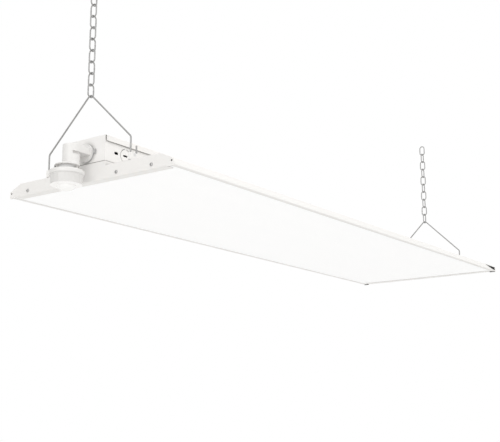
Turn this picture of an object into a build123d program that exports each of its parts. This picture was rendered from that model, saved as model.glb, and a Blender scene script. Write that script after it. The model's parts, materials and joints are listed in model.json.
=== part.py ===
from build123d import *
import os
from math import atan2, cos, sqrt, tan

os.makedirs("parts", exist_ok=True)

# All sizes are millimetres. X runs along the light with the sensor at the low end, Z is up.
# Pieces are drawn with z = 0 on the pan's underside and lowered by hang_height when they are written.

# End caps
panel_length = 1182.0  # over the outer faces of the two caps
panel_width = 359.0  # over the lower corners of a cap
cap_gauge = 1.2
cap_bend = 0.5  # inside radius of the cap's fold
cap_corner_height = 9.4  # upright edge at a cap's lower corner
cap_shoulder = 25.5  # how far a cap's top corner lies in from its side
cap_rise = 0.4  # cap's top edge above the pan's top
cap_tab_rise = 7.6  # middle tab above the cap's top edge
cap_flange_depth = 16.5
cap_flange_cutback = 14.0  # flange stops short of the cap's sides by this much
cap_flange_play = 0.05  # between the flange and the lens above it
cap_ear_drop = 1.4  # corner beside the flange, below the pan
cap_screw_inner = 64.0  # from the middle, to each side
cap_screw_outer = 136.0
cap_screw_height = 6.8
corner_hole_radius = 1.6
corner_hole_margin = 3.9  # from the cap's side
corner_hole_height = 6.8

# End seals
seal_thickness = 1.0
seal_inset = 1.5  # inside the cap's outline
seal_ear_inset = 0.2  # above the lower edge of the cap's corner
seal_ear_play = 1.0  # beside the flange

# Pan and lens
pan_gauge = 0.8
pan_bend = 0.3
pan_height = 21.0
pan_side_inset = 0.3  # pan's rounded lower edge inside the cap's side
lip_width = 13.4
lens_thickness = 2.0
lens_play = 0.8
bulkhead_gauge = 1.5
bulkhead_play = 0.3
bulkhead_flange_depth = 14.0
bulkhead_flange_half = 140.0

# LED boards
board_end_gap = 12.5  # from a board's end to the bulkhead's flange
board_width = 36.0
board_thickness = 1.6
board_count = 4
board_spacing = 80.0
led_count = 24
led_length = 3.5
led_width = 2.8
led_height = 0.8
board_rivet_count = 5  # along one board
board_rivet_inset = 80.0  # end rivets, from the board's end
board_rivet_offset = 12.0  # from the board's centre line, towards the middle of the pan

# Driver channel, lid, end plates and rails
channel_gauge = 0.8
channel_bend = 1.2
channel_half = 38.6  # outer face of a side wall
return_width = 7.0  # wall's top edge turned in
lid_gauge = 0.8
lid_bend = 0.6
lid_play = 1.6  # skirt stands this far off the wall
lid_top = 71.5
lid_skirt = 9.5
lid_screw_margin = 4.2  # from the wall's outer face
lid_screw_count = 3  # along one edge
lid_screw_inset = 48.0  # end screws, from the lid's end
end_plate_gauge = 1.5
end_plate_gap = 1.0  # between the end plate and the cap's tab
end_tab_depth = 14.0
end_tab_low = 34.0
end_tab_high = 60.0
end_tab_play = 0.05
inlet_radius = 11.1  # half-inch trade size knock-out
inlet_height = 46.4
rail_gauge = 0.8
rail_bend = 0.6
rail_stand = 0.8  # rail's outer face beyond the channel's wall
rail_height = 8.3  # lifts the channel off the pan
rail_shelf = 12.0
rail_foot = 12.0
rail_rivet_count = 6  # along one rail
rail_rivet_inset = 89.8  # end rivets, from the rail's end
channel_rivet_gap = 16.0  # from a driver's ears

# Knock-out and oblong hole in the channel's side wall
knockout_inset = 46.0  # centre, from the panel's end
knockout_cut = 0.9
knockout_tie = 3.0
pry_slot_length = 10.0
pry_slot_width = 3.0
oblong_inset = 25.3  # centre, from the panel's end
oblong_length = 8.6
oblong_width = 4.4

# Drivers, terminal block, leads and grommet
driver_length = 280.0
driver_width = 60.0
driver_height = 36.0
driver_round = 3.0
driver_spacing = 240.0  # between the two cases
driver_ear_length = 14.0
driver_ear_thickness = 2.0
terminal_gap = 56.0  # from the far driver's ears
terminal_length = 40.0
terminal_width = 34.0
terminal_height = 22.0
terminal_hole_radius = 1.8
terminal_hole_depth = 6.0
lead_radius = 1.2
lead_height = 42.8
lead_spacing = 8.0
board_lead_height = 50.8
board_lead_bend = 10.0
board_lead_turn = 2.5
board_lead_reach = 30.0
board_lead_offset = 2.6
grommet_station = -60.0
grommet_groove_radius = 7.0
grommet_rim_radius = 9.0
grommet_rim_height = 1.5
grommet_bore = 4.8
grommet_play = 0.05

# Screws and rivets
screw_radius = 2.0
screw_play = 0.2
thread_play = 0.05
screw_head_radius = 3.8
screw_head_height = 2.3
screw_head_round = 1.3
cap_screw_head_radius = 3.0
cap_screw_head_height = 2.0
cap_screw_length = 10.0
lid_screw_length = 8.0
rivet_radius = 1.6
rivet_play = 0.05
rivet_head_radius = 3.0
rivet_head_height = 1.0

# V-hooks, with a clevis and a pin at each foot
hook_inset = 2.8  # plane of the V, from the panel's end
hook_wire = 2.7
hook_turn = 6.5  # radius of the foot's U, to the wire's centre
hook_axis_height = 34.5  # centre of the U
hook_half_width = 90.3
hook_knee = 25.6  # above the U's centre
hook_peak = 111.4  # sharp apex, above the U's centre
hook_knee_bend = 6.0
hook_apex_bend = 6.0
hook_stub = 13.0  # turned-up end above the U's centre
hook_foot_straight = 0.2  # short level run at the bottom of the U
clevis_gauge = 1.2
clevis_play = 0.35  # between the wire and a cheek
clevis_front_play = 0.15  # between the wire and the front wall
clevis_tail = 8.0  # cheek's end, from the U's centre away from the cap
clevis_rise = 12.8  # above the pan
clevis_round = 4.0
clevis_heel = 5.5  # cheek's foot, from the U's centre towards the cap
clevis_heel_rise = 1.6
clevis_foot_width = 12.0
clevis_foot_reach = 20.0  # from the U's centre
clevis_rivet_reach = 13.0
pin_radius = 2.0
pin_play = 0.05
pin_head_radius = 2.6
pin_head_height = 0.6

# Chains
link_count = 10
link_wire = 2.4
link_inner_length = 19.9
link_outer_width = 12.9
link_gap = 0.2

# Sensor arm
gasket_thickness = 2.0
gasket_radius = 15.0
gasket_ear_reach = 19.5
gasket_ear_rise = 4.6  # above the inlet's centre
gasket_ear_drop = 1.9  # below it
swivel_play = 0.1
collar_thickness = 4.9
collar_radius = 14.6
nipple_radius = 10.6
nipple_length = 14.0
locknut_thickness = 6.0
locknut_radius = 15.0
arm_half_width = 13.5
arm_rise = 6.1  # above the inlet's centre
arm_drop = 5.7  # below it
arm_round = 1.2
arm_relief_height = 4.6  # recess under each edge of the arm
arm_relief_depth = 4.5
arm_relief_reach = 7.5  # outward of the boss axis
boss_reach = 34.5  # boss axis, from the panel's end
boss_radius = 13.6
flange_radius = 19.0
flange_edge = 1.2
flare_radius = 15.4  # middle of the curve from the flange up to the boss
flare_shift = 2.6
flare_low = 3.2  # heights above the flange's underside
flare_high = 7.0
flange_height = 17.2  # underside of the arm's flange
post_ring = 15.2
post_radius = 1.8
post_length = 4.4
latch_radius = 1.4
latch_play = 0.05
latch_angle = 126.3  # about the head's axis, from +X

# Sensor head
head_reach = 42.2  # head axis, from the panel's end
neck_radius = 12.6
neck_play = 0.2
spigot_radius = 4.5
spigot_length = 10.0
spigot_play = 0.1
cover_top = 9.4
cover_bottom = 1.8
cover_radius = 27.2
cover_rounding = 2.6
cover_wall = 2.8
head_sides = 20
head_top_radius = 25.4
head_bottom_radius = 24.6
head_bottom = -13.7
head_wall = 2.4
head_ledge = 2.0
head_floor = 2.0
dome_radius = 15.6
dome_play = 0.05
dome_drop = 8.8
dome_wall = 1.5
dome_rim = 2.2
dome_rim_height = 1.5
sensor_board_thickness = 1.6
sensor_board_drop = 4.8  # board's underside below the cover
sensor_board_play = 0.3
detector_radius = 4.6
detector_height = 5.0

# Sizes that follow from those above
half_length = panel_length / 2
cap_half = panel_width / 2
cap_inner = half_length - cap_gauge
cap_top = pan_height + cap_rise
cap_top_half = cap_half - cap_shoulder
cap_flange_half = cap_half - cap_flange_cutback
cap_flange_low = pan_gauge - cap_flange_play - cap_gauge
cap_fold_top = cap_flange_low + cap_gauge + cap_bend
pan_end = cap_inner - seal_thickness
pan_edge = cap_half - pan_side_inset
pan_fold = atan2(pan_height, pan_edge - cap_top_half)
pan_half = pan_edge + (pan_gauge + pan_bend) * (1 / tan(pan_fold / 2) - 1)
pan_ceiling = pan_height - pan_gauge
pan_slope = (pan_half - cap_top_half) / pan_height
lens_top = pan_gauge + lens_thickness
board_bottom = pan_ceiling - board_thickness
board_end = pan_end - bulkhead_flange_depth - board_end_gap
cap_tab_top = cap_top + cap_tab_rise
rail_top = pan_height + rail_height
rail_outer = channel_half + rail_stand
rail_rivet_offset = rail_outer + rail_foot / 2
channel_rivet_offset = rail_outer - rail_shelf / 2
foot_top = pan_height + rail_gauge
channel_floor = rail_top + channel_gauge
channel_end = half_length - end_plate_gauge
channel_inside = channel_half - channel_gauge
channel_top = lid_top - lid_gauge
lid_half = channel_half + lid_play + lid_gauge
lid_screw_offset = channel_half - lid_screw_margin
driver_near_end = driver_spacing / 2
driver_station = driver_near_end + driver_length / 2
driver_far_end = driver_near_end + driver_length
terminal_start = driver_far_end + driver_ear_length + terminal_gap
hook_station = half_length - hook_inset
hook_slope = atan2(hook_peak - hook_knee, hook_half_width)
hook_crown = hook_peak - hook_apex_bend * (1 / cos(hook_slope) - 1)
crown_height = hook_axis_height + hook_crown
foot_station = hook_station - hook_turn
pin_height = hook_axis_height - hook_turn + hook_wire / 2 + pin_play + pin_radius
clevis_inner = hook_wire / 2 + clevis_play
clevis_outer = clevis_inner + clevis_gauge
clevis_front_inner = hook_turn + hook_wire / 2 + clevis_front_play
clevis_front = clevis_front_inner + clevis_gauge
clevis_floor = pan_height + clevis_gauge
clevis_top = pan_height + clevis_rise
clevis_rivet_station = foot_station - clevis_rivet_reach
link_turn = (link_outer_width - link_wire) / 2
link_straight = link_inner_length + 2 * link_wire - link_outer_width
link_pitch = link_inner_length - link_gap
lowest_link = crown_height - hook_wire / 2 - link_gap + link_inner_length / 2
hang_height = lowest_link + (link_count - 1) * link_pitch + link_inner_length / 2
gasket_face = -half_length - gasket_thickness
collar_back = gasket_face - swivel_play
collar_front = collar_back - collar_thickness
boss_x = -half_length - boss_reach
head_x = -half_length - head_reach
sensor_board_bottom = cover_bottom - sensor_board_drop


def put(name, *solids):
    """Writes one node, lowered so that the chains' bearing points lie at z = 0."""
    shape = solids[0] if len(solids) == 1 else Compound(list(solids))
    export_step(Pos(0, 0, -hang_height) * shape, f"parts/{name}.step")


def put_both_ends(name, near_piece):
    """Writes a piece of the sensor end and its mirror image at the other end."""
    put(f"near_{name}", near_piece)
    put(f"far_{name}", mirror(near_piece, about=Plane.YZ))


def at_both_ends(near_pieces):
    """A list of solids of the sensor end, with their mirror images."""
    return near_pieces + [mirror(piece, about=Plane.YZ) for piece in near_pieces]


def outline(*points):
    return make_face(Polyline(*points, close=True))


def folded_section(points, gauge, bend):
    """Section of a folded sheet: the points follow one face, and the sheet lies on their left."""
    base = [Vector(*point) for point in points]
    ways = [(end - start).normalized() for start, end in zip(base, base[1:])]
    sides = [Vector(-way.Y, way.X) for way in ways]
    other = [base[0] + sides[0] * gauge]
    base_radii = []
    other_radii = []
    for corner, before, after in zip(base[1:], sides, sides[1:]):
        other.append(corner + (before + after) * (gauge / (1 + before.dot(after))))
        turns_left = before.cross(after).Z > 0
        base_radii.append(bend + gauge if turns_left else bend)
        other_radii.append(bend if turns_left else bend + gauge)
    other.append(base[-1] + sides[-1] * gauge)
    lines = [
        FilletPolyline(*base, radius=base_radii),
        FilletPolyline(*other, radius=other_radii),
        Line(base[0], other[0]),
        Line(base[-1], other[-1]),
    ]
    return make_face([edge for line in lines for edge in line.edges()])


def along_x(section, start, end):
    return extrude(Plane.YZ.offset(start) * section, end - start)


def block(low, high):
    size = Vector(*high) - Vector(*low)
    return Solid.make_box(size.X, size.Y, size.Z, Plane(Vector(*low)))


def rod(radius, start, end):
    along = Vector(*end) - Vector(*start)
    return Solid.make_cylinder(radius, along.length, Plane(Vector(*start), z_dir=along))


def upright(radius, x, y, low, high):
    return rod(radius, (x, y, low), (x, y, high))


def lengthwise(radius, y, z, start, end):
    return rod(radius, (start, y, z), (end, y, z))


def turned(x, section):
    """Solid of revolution about an upright axis, from a section in radius and height."""
    return Pos(x, 0, 0) * revolve(Plane.XZ * section, Axis.Z)


def pan_screw(point, outward, length, head_radius=screw_head_radius, head_height=screw_head_height):
    head = Cylinder(head_radius, head_height, align=(Align.CENTER, Align.CENTER, Align.MIN))
    head = fillet(head.edges().group_by(Axis.Z)[-1], screw_head_round)
    shank = Cylinder(screw_radius, length, align=(Align.CENTER, Align.CENTER, Align.MAX))
    return Plane(point, z_dir=outward) * (head + shank)


def rivet(x, y, head_underside, end):
    """Rivet whose head lies on head_underside and whose shank is flush at end, above or below it."""
    way = 1 if head_underside > end else -1
    head = upright(rivet_head_radius, x, y, head_underside, head_underside + way * rivet_head_height)
    return head + upright(rivet_radius, x, y, head_underside, end)


def pan_inside(height):
    """Half-width between the pan's slanted walls at a height."""
    return pan_half - height * pan_slope - pan_gauge * sqrt(1 + pan_slope**2)


def spaced(count, reach):
    """Places of a row of count pieces, evenly spread from -reach to reach."""
    return [2 * reach * number / (count - 1) - reach for number in range(count)]


# Places of the LED boards, and of the fasteners that pass through the pan's top
board_offsets = spaced(board_count, (board_count - 1) * board_spacing / 2)
rail_rivets = [
    (x, side * rail_rivet_offset)
    for x in spaced(rail_rivet_count, cap_inner - rail_rivet_inset)
    for side in (-1, 1)
]
channel_rivets = [
    (end * x, side * channel_rivet_offset)
    for x in (
        driver_near_end - driver_ear_length - channel_rivet_gap,
        driver_far_end + driver_ear_length + channel_rivet_gap,
    )
    for end in (-1, 1)
    for side in (-1, 1)
]
clevis_rivets = [
    (end * clevis_rivet_station, side * hook_half_width) for end in (-1, 1) for side in (-1, 1)
]
board_rivets = [
    (x, y - board_rivet_offset if y > 0 else y + board_rivet_offset)
    for y in board_offsets
    for x in spaced(board_rivet_count, board_end - board_rivet_inset)
]
cap_screw_places = [side * offset for offset in (cap_screw_inner, cap_screw_outer) for side in (-1, 1)]
corner_hole_places = [side * (cap_half - corner_hole_margin) for side in (-1, 1)]
driver_screws = [
    (end * driver_station + way * (driver_length + driver_ear_length) / 2, 0.0)
    for end in (-1, 1)
    for way in (-1, 1)
]
lid_screws = [
    (x, side * lid_screw_offset)
    for x in spaced(lid_screw_count, channel_end - lid_screw_inset)
    for side in (-1, 1)
]


# Pan: a folded trough with slanted sides and lips, holed for rivets and the grommet
pan = along_x(
    folded_section(
        [
            (pan_half - lip_width, 0),
            (pan_half, 0),
            (cap_top_half, pan_height),
            (-cap_top_half, pan_height),
            (-pan_half, 0),
            (lip_width - pan_half, 0),
        ],
        pan_gauge,
        pan_bend,
    ),
    -pan_end,
    pan_end,
)
for x, y in rail_rivets + clevis_rivets + board_rivets:
    pan -= upright(rivet_radius + rivet_play, x, y, pan_ceiling, pan_height)
pan -= upright(grommet_groove_radius, grommet_station, 0, pan_ceiling, pan_height)
put("housing_pan", pan)

lens_half = pan_inside(lens_top) - lens_play
lens_end = pan_end - lens_play
put("lens", block((-lens_end, -lens_half, pan_gauge), (lens_end, lens_half, lens_top)))


# End cap: a flat plate with a middle tab and a flange folded in under the lens, between two corner ears
cap = along_x(
    outline(
        (-cap_flange_half, -cap_ear_drop),
        (-cap_half, -cap_ear_drop),
        (-cap_half, cap_corner_height),
        (-cap_top_half, cap_top),
        (-rail_outer, cap_top),
        (-rail_outer, cap_tab_top),
        (rail_outer, cap_tab_top),
        (rail_outer, cap_top),
        (cap_top_half, cap_top),
        (cap_half, cap_corner_height),
        (cap_half, -cap_ear_drop),
        (cap_flange_half, -cap_ear_drop),
        (cap_flange_half, cap_fold_top),
        (-cap_flange_half, cap_fold_top),
    ),
    -half_length,
    -cap_inner,
)
cap_fold = folded_section(
    [
        (-half_length, cap_corner_height),
        (-half_length, cap_flange_low),
        (cap_flange_depth - half_length, cap_flange_low),
    ],
    cap_gauge,
    cap_bend,
)
cap += extrude(Plane.XZ * cap_fold, cap_flange_half, both=True)
seal_ear_low = seal_ear_inset - cap_ear_drop
seal_low_half = cap_flange_half + seal_ear_play
seal = along_x(
    outline(
        (-seal_low_half, seal_ear_low),
        (seal_inset - cap_half, seal_ear_low),
        (seal_inset - cap_half, cap_corner_height),
        (-cap_top_half, pan_height - seal_inset),
        (cap_top_half, pan_height - seal_inset),
        (cap_half - seal_inset, cap_corner_height),
        (cap_half - seal_inset, seal_ear_low),
        (seal_low_half, seal_ear_low),
        (seal_low_half, seal_inset),
        (-seal_low_half, seal_inset),
    ),
    -cap_inner,
    -pan_end,
)
bulkhead_low = lens_top + bulkhead_play
bulkhead_low_half = pan_inside(bulkhead_low) - bulkhead_play
bulkhead_high_half = pan_inside(pan_ceiling) - bulkhead_play
bulkhead = along_x(
    outline(
        (-bulkhead_low_half, bulkhead_low),
        (-bulkhead_high_half, pan_ceiling),
        (bulkhead_high_half, pan_ceiling),
        (bulkhead_low_half, bulkhead_low),
    ),
    -pan_end,
    bulkhead_gauge - pan_end,
)
bulkhead += block(
    (-pan_end, -bulkhead_flange_half, pan_ceiling - bulkhead_gauge),
    (bulkhead_flange_depth - pan_end, bulkhead_flange_half, pan_ceiling),
)
clear_hole = screw_radius + screw_play
thread_hole = screw_radius + thread_play
for y in cap_screw_places:
    cap -= lengthwise(clear_hole, y, cap_screw_height, -half_length, -cap_inner)
    seal -= lengthwise(clear_hole, y, cap_screw_height, -cap_inner, -pan_end)
    bulkhead -= lengthwise(thread_hole, y, cap_screw_height, -pan_end, bulkhead_gauge - pan_end)
for y in corner_hole_places:
    cap -= lengthwise(corner_hole_radius, y, corner_hole_height, -half_length, -cap_inner)
put_both_ends("end_cap", cap)
put_both_ends("end_seal", seal)
put("end_bulkheads", *at_both_ends([bulkhead]))
cap_screws = [
    pan_screw(
        (-half_length, y, cap_screw_height),
        (-1, 0, 0),
        cap_screw_length,
        cap_screw_head_radius,
        cap_screw_head_height,
    )
    for y in cap_screw_places
]
put("end_cap_screws", *at_both_ends(cap_screws))


# LED boards under the pan's top, each with one row of LED packages
boards = []
leds = []
for y in board_offsets:
    board = block(
        (-board_end, y - board_width / 2, board_bottom),
        (board_end, y + board_width / 2, pan_ceiling),
    )
    for rivet_x, rivet_y in board_rivets:
        board -= upright(rivet_radius + rivet_play, rivet_x, rivet_y, board_bottom, pan_ceiling)
    boards.append(board)
    for number in range(led_count):
        x = (2 * number + 1) * board_end / led_count - board_end
        leds.append(
            block(
                (x - led_length / 2, y - led_width / 2, board_bottom - led_height),
                (x + led_length / 2, y + led_width / 2, board_bottom),
            )
        )
put("led_boards", *boards)
put("led_packages", *leds)
put("board_rivets", *[rivet(x, y, board_bottom, pan_height) for x, y in board_rivets])


# Driver channel: an open trough on the rails' shelves, with its top edges turned in
channel = along_x(
    folded_section(
        [
            (return_width - channel_half, channel_top),
            (-channel_half, channel_top),
            (-channel_half, rail_top),
            (channel_half, rail_top),
            (channel_half, channel_top),
            (channel_half - return_width, channel_top),
        ],
        channel_gauge,
        channel_bend,
    ),
    -channel_end,
    channel_end,
)
for x, y in channel_rivets:
    channel -= upright(rivet_radius + rivet_play, x, y, rail_top, channel_floor)
for x, y in driver_screws:
    channel -= upright(thread_hole, x, y, rail_top, channel_floor)
for x, y in lid_screws:
    channel -= upright(thread_hole, x, y, channel_top - channel_gauge, channel_top)
channel -= upright(grommet_groove_radius, grommet_station, 0, rail_top, channel_floor)

# The side wall's knock-out is a disc held by two ties, with a slot for a screwdriver
knockout_x = knockout_inset - half_length
knockout_ring = Circle(inlet_radius + knockout_cut / 2) - Circle(inlet_radius - knockout_cut / 2)
knockout_ring -= Rectangle(knockout_tie, 3 * inlet_radius)
pry_slot = SlotOverall(pry_slot_length, pry_slot_width)
oblong = SlotOverall(oblong_length, oblong_width)
wall_plane = Plane.XZ.offset(channel_half)
for x, opening in ((knockout_x, knockout_ring + pry_slot), (oblong_inset - half_length, oblong)):
    channel -= extrude(wall_plane * Pos(x, inlet_height) * opening, -channel_gauge)
put("driver_channel", channel)

lid = along_x(
    folded_section(
        [
            (lid_half, lid_top - lid_skirt),
            (lid_half, lid_top),
            (-lid_half, lid_top),
            (-lid_half, lid_top - lid_skirt),
        ],
        lid_gauge,
        lid_bend,
    ),
    -channel_end,
    channel_end,
)
for x, y in lid_screws:
    lid -= upright(clear_hole, x, y, channel_top, lid_top)
put("channel_lid", lid)
put("lid_screws", *[pan_screw((x, y, lid_top), (0, 0, 1), lid_screw_length) for x, y in lid_screws])

# End plate of the channel: flush with the cap, two tabs inside the walls and the inlet hole
end_plate = block(
    (-half_length, -channel_half, cap_tab_top + end_plate_gap),
    (-channel_end, channel_half, lid_top),
)
for side in (-1, 1):
    tab_inner = side * (channel_inside - end_tab_play - end_plate_gauge)
    tab_outer = side * (channel_inside - end_tab_play)
    end_plate += block(
        (-channel_end, min(tab_inner, tab_outer), end_tab_low),
        (end_tab_depth - channel_end, max(tab_inner, tab_outer), end_tab_high),
    )
end_plate -= lengthwise(inlet_radius, 0, inlet_height, -half_length, -channel_end)
put_both_ends("channel_end", end_plate)

# Rail: a Z-section with its foot on the pan and the channel on its shelf
rail = along_x(
    folded_section(
        [
            (rail_outer - rail_shelf, rail_top - rail_gauge),
            (rail_outer - rail_gauge, rail_top - rail_gauge),
            (rail_outer - rail_gauge, pan_height),
            (rail_outer + rail_foot, pan_height),
        ],
        rail_gauge,
        rail_bend,
    ),
    -cap_inner,
    cap_inner,
)
for x, y in rail_rivets:
    rail -= upright(rivet_radius + rivet_play, x, y, pan_height, foot_top)
for x, y in channel_rivets:
    rail -= upright(rivet_radius + rivet_play, x, y, rail_top - rail_gauge, rail_top)
put("left_rail", rail)
put("right_rail", mirror(rail, about=Plane.XZ))


# Drivers, terminal block, leads and grommet inside the channel
def driver(x):
    low = (x - driver_length / 2, -driver_width / 2, channel_floor)
    high = (x + driver_length / 2, driver_width / 2, channel_floor + driver_height)
    case = block(low, high)
    case = fillet(case.edges().group_by(Axis.Z)[-1], driver_round)
    ear_reach = driver_length / 2 + driver_ear_length
    ears = block(
        (x - ear_reach, -driver_width / 4, channel_floor),
        (x + ear_reach, driver_width / 4, channel_floor + driver_ear_thickness),
    )
    case += ears
    for screw_x, screw_y in driver_screws:
        hole_top = channel_floor + driver_ear_thickness
        case -= upright(clear_hole, screw_x, screw_y, channel_floor, hole_top)
    return case


put_both_ends("driver", driver(-driver_station))
ear_top = channel_floor + driver_ear_thickness
put("driver_screws", *[pan_screw((x, y, ear_top), (0, 0, 1), ear_top - rail_top) for x, y in driver_screws])

terminal_block = block(
    (terminal_start, -terminal_width / 2, channel_floor),
    (terminal_start + terminal_length, terminal_width / 2, channel_floor + terminal_height),
)
for pole in (-1, 0, 1):
    terminal_block -= upright(
        terminal_hole_radius,
        terminal_start + terminal_length / 2,
        pole * lead_spacing,
        channel_floor + terminal_height - terminal_hole_depth,
        channel_floor + terminal_height,
    )
put("terminal_block", terminal_block)


def board_lead(side):
    """Lead from the near driver down through the grommet and out under an inner board."""
    y = side * board_lead_offset
    low = board_bottom - lead_radius
    path = FilletPolyline(
        (-driver_near_end, y, board_lead_height),
        (grommet_station, y, board_lead_height),
        (grommet_station, y, low),
        (grommet_station, side * board_lead_reach, low),
        radius=[board_lead_bend, board_lead_turn],
    )
    return sweep(Plane(path @ 0, z_dir=path % 0) * Circle(lead_radius), path=path)


leads = [board_lead(-1), board_lead(1)]
for side in (-1, 1):
    y = side * lead_spacing
    leads.append(lengthwise(lead_radius, y, lead_height, -driver_near_end, driver_near_end))
for pole in (-1, 0, 1):
    y = pole * lead_spacing
    leads.append(lengthwise(lead_radius, y, lead_height, driver_far_end, terminal_start))
put("inner_leads", *leads)


def grommet(low, high):
    """Rubber ring in a hole of a sheet that lies between two heights."""
    groove = grommet_groove_radius - grommet_play
    return turned(
        grommet_station,
        outline(
            (grommet_bore, low - grommet_rim_height),
            (grommet_rim_radius, low - grommet_rim_height),
            (grommet_rim_radius, low),
            (groove, low),
            (groove, high),
            (grommet_rim_radius, high),
            (grommet_rim_radius, high + grommet_rim_height),
            (grommet_bore, high + grommet_rim_height),
        ),
    )


put("wire_grommets", grommet(pan_ceiling, pan_height), grommet(rail_top, channel_floor))


# Clevis: a front wall, two cheeks and a foot folded from one sheet, around a foot of the V-hook
def clevis(side):
    y = side * hook_half_width
    cheek = outline(
        (-clevis_heel, pan_height),
        (clevis_tail, pan_height),
        (clevis_tail, clevis_top),
        (-clevis_front, clevis_top),
        (-clevis_front, pan_height + clevis_heel_rise),
    )
    cheek = fillet(cheek.vertices().group_by(Axis.X)[-1].group_by(Axis.Y)[-1], clevis_round)
    bracket = extrude(Plane.XZ * Pos(-foot_station, 0) * cheek, clevis_outer, both=True)
    bracket -= block(
        (-foot_station - clevis_front_inner, -clevis_inner, clevis_floor),
        (clevis_tail - foot_station, clevis_inner, clevis_top),
    )
    bracket -= block(
        (-foot_station - clevis_front_inner, -clevis_inner, pan_height),
        (-foot_station - clevis_heel, clevis_inner, clevis_floor),
    )
    bracket += block(
        (clevis_tail - foot_station, -clevis_foot_width / 2, pan_height),
        (clevis_foot_reach - foot_station, clevis_foot_width / 2, clevis_floor),
    )
    bracket = Pos(0, y, 0) * bracket
    bracket -= rod(
        pin_radius + pin_play,
        (-foot_station, y - clevis_outer, pin_height),
        (-foot_station, y + clevis_outer, pin_height),
    )
    hole_radius = rivet_radius + rivet_play
    return bracket - upright(hole_radius, -clevis_rivet_station, y, pan_height, clevis_floor)


def hook_pin(side):
    """Headed pin through both cheeks, over the wire at the bottom of the U."""
    y = side * hook_half_width
    faces = (y - clevis_outer, y + clevis_outer)
    pin = rod(pin_radius, (-foot_station, faces[0], pin_height), (-foot_station, faces[1], pin_height))
    for face, way in zip(faces, (-1, 1)):
        head_end = face + way * pin_head_height
        start = (-foot_station, face, pin_height)
        pin += rod(pin_head_radius, start, (-foot_station, head_end, pin_height))
    return pin


put("hook_clevises", *at_both_ends([clevis(-1), clevis(1)]))
put("hook_pins", *at_both_ends([hook_pin(-1), hook_pin(1)]))
top_rivets = [rivet(x, y, foot_top, pan_ceiling) for x, y in rail_rivets]
top_rivets += [rivet(x, y, channel_floor, rail_top - rail_gauge) for x, y in channel_rivets]
top_rivets += [rivet(x, y, clevis_floor, pan_ceiling) for x, y in clevis_rivets]
put("top_rivets", *top_rivets)


# V-hook: one bent wire, upright, each foot turned back under a pin
foot_bend = hook_turn - hook_foot_straight / 2
half_path = [
    (2 * hook_turn, hook_half_width, hook_stub),
    (2 * hook_turn, hook_half_width, -hook_turn),
    (0, hook_half_width, -hook_turn),
    (0, hook_half_width, hook_knee),
]
other_half = [(x, -y, z) for x, y, z in reversed(half_path)]
hook_path = FilletPolyline(
    *half_path,
    (0, 0, hook_peak),
    *other_half,
    radius=[foot_bend, foot_bend, hook_knee_bend, hook_apex_bend, hook_knee_bend, foot_bend, foot_bend],
)
hook = sweep(Plane(hook_path @ 0, z_dir=hook_path % 0) * Circle(hook_wire / 2), path=hook_path)
put_both_ends("v_hook", Pos(-hook_station, 0, hook_axis_height) * hook)


# Chain link: round wire bent to an oval, drawn in the XZ plane
def chain_link():
    half = link_straight / 2
    bend = Pos(0, 0, half) * revolve(
        Plane.XY * Pos(link_turn, 0) * Circle(link_wire / 2), Axis.Y, revolution_arc=-180
    )
    link = bend + mirror(bend, about=Plane.XY)
    for side in (-1, 1):
        link += upright(link_wire / 2, side * link_turn, 0, -half, half)
    return link


# Link 1 is the top one and stands across the light; the links alternate down to the V-hook
link = chain_link()
for number in range(1, link_count + 1):
    height = lowest_link + (link_count - number) * link_pitch
    turn = 90 * (number % 2)
    put_both_ends(f"chain_link_{number}", Pos(-hook_station, 0, height) * Rot(0, 0, turn) * link)


# Sensor: gasket on the channel's end, elbow arm, and a head that turns under the arm's flange
gasket = lengthwise(gasket_radius, 0, inlet_height, gasket_face, -half_length)
gasket += block(
    (gasket_face, -gasket_ear_reach, inlet_height - gasket_ear_drop),
    (-half_length, 0, inlet_height + gasket_ear_rise),
)
gasket -= lengthwise(inlet_radius, 0, inlet_height, gasket_face, -half_length)
put("sensor_gasket", gasket)

arm_top = inlet_height + arm_rise
arm_low = inlet_height - arm_drop
boss = upright(boss_radius, boss_x, 0, flange_height, arm_top)
arm = fillet(boss.edges().group_by(Axis.Z)[-1], arm_round)
arm += block((boss_x, -arm_half_width, arm_low), (collar_front, arm_half_width, arm_top))
for side in (-1, 1):
    relief = block(
        (boss_x - arm_relief_reach, -boss_radius, arm_low - arm_relief_height),
        (collar_front, arm_relief_depth - arm_half_width, arm_low),
    )
    arm -= relief if side < 0 else mirror(relief, about=Plane.XZ)
arm += lengthwise(collar_radius, 0, inlet_height, collar_front, collar_back)
arm += lengthwise(nipple_radius, 0, inlet_height, collar_back, collar_back + nipple_length)
arm += upright(flange_radius, head_x, 0, flange_height, flange_height + flange_edge)
arm += loft(
    [
        Pos(head_x, 0, flange_height + flange_edge) * Circle(flange_radius),
        Pos(boss_x - flare_shift, 0, flange_height + flare_low) * Circle(flare_radius),
        Pos(boss_x, 0, flange_height + flare_high) * Circle(boss_radius),
    ],
    ruled=True,
)
spigot_hole_top = flange_height + spigot_length + neck_play
arm -= upright(spigot_radius + spigot_play, head_x, 0, flange_height, spigot_hole_top)
post = upright(post_radius, post_ring, 0, flange_height - post_length, flange_height)
latch_ring = post_ring + post_radius + latch_radius + latch_play
latch = upright(latch_radius, latch_ring, 0, flange_height - post_length, flange_height)
for angle in (latch_angle, latch_angle + 180):
    arm += Pos(head_x, 0, 0) * Rot(0, 0, angle) * post
put("sensor_arm", arm)
put("sensor_latch", Pos(head_x, 0, 0) * Rot(0, 0, latch_angle) * latch)

locknut_start = swivel_play - channel_end
locknut_end = locknut_start + locknut_thickness
locknut = lengthwise(locknut_radius, 0, inlet_height, locknut_start, locknut_end)
locknut -= lengthwise(nipple_radius + thread_play, 0, inlet_height, locknut_start, locknut_end)
put("sensor_locknut", locknut)

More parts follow.
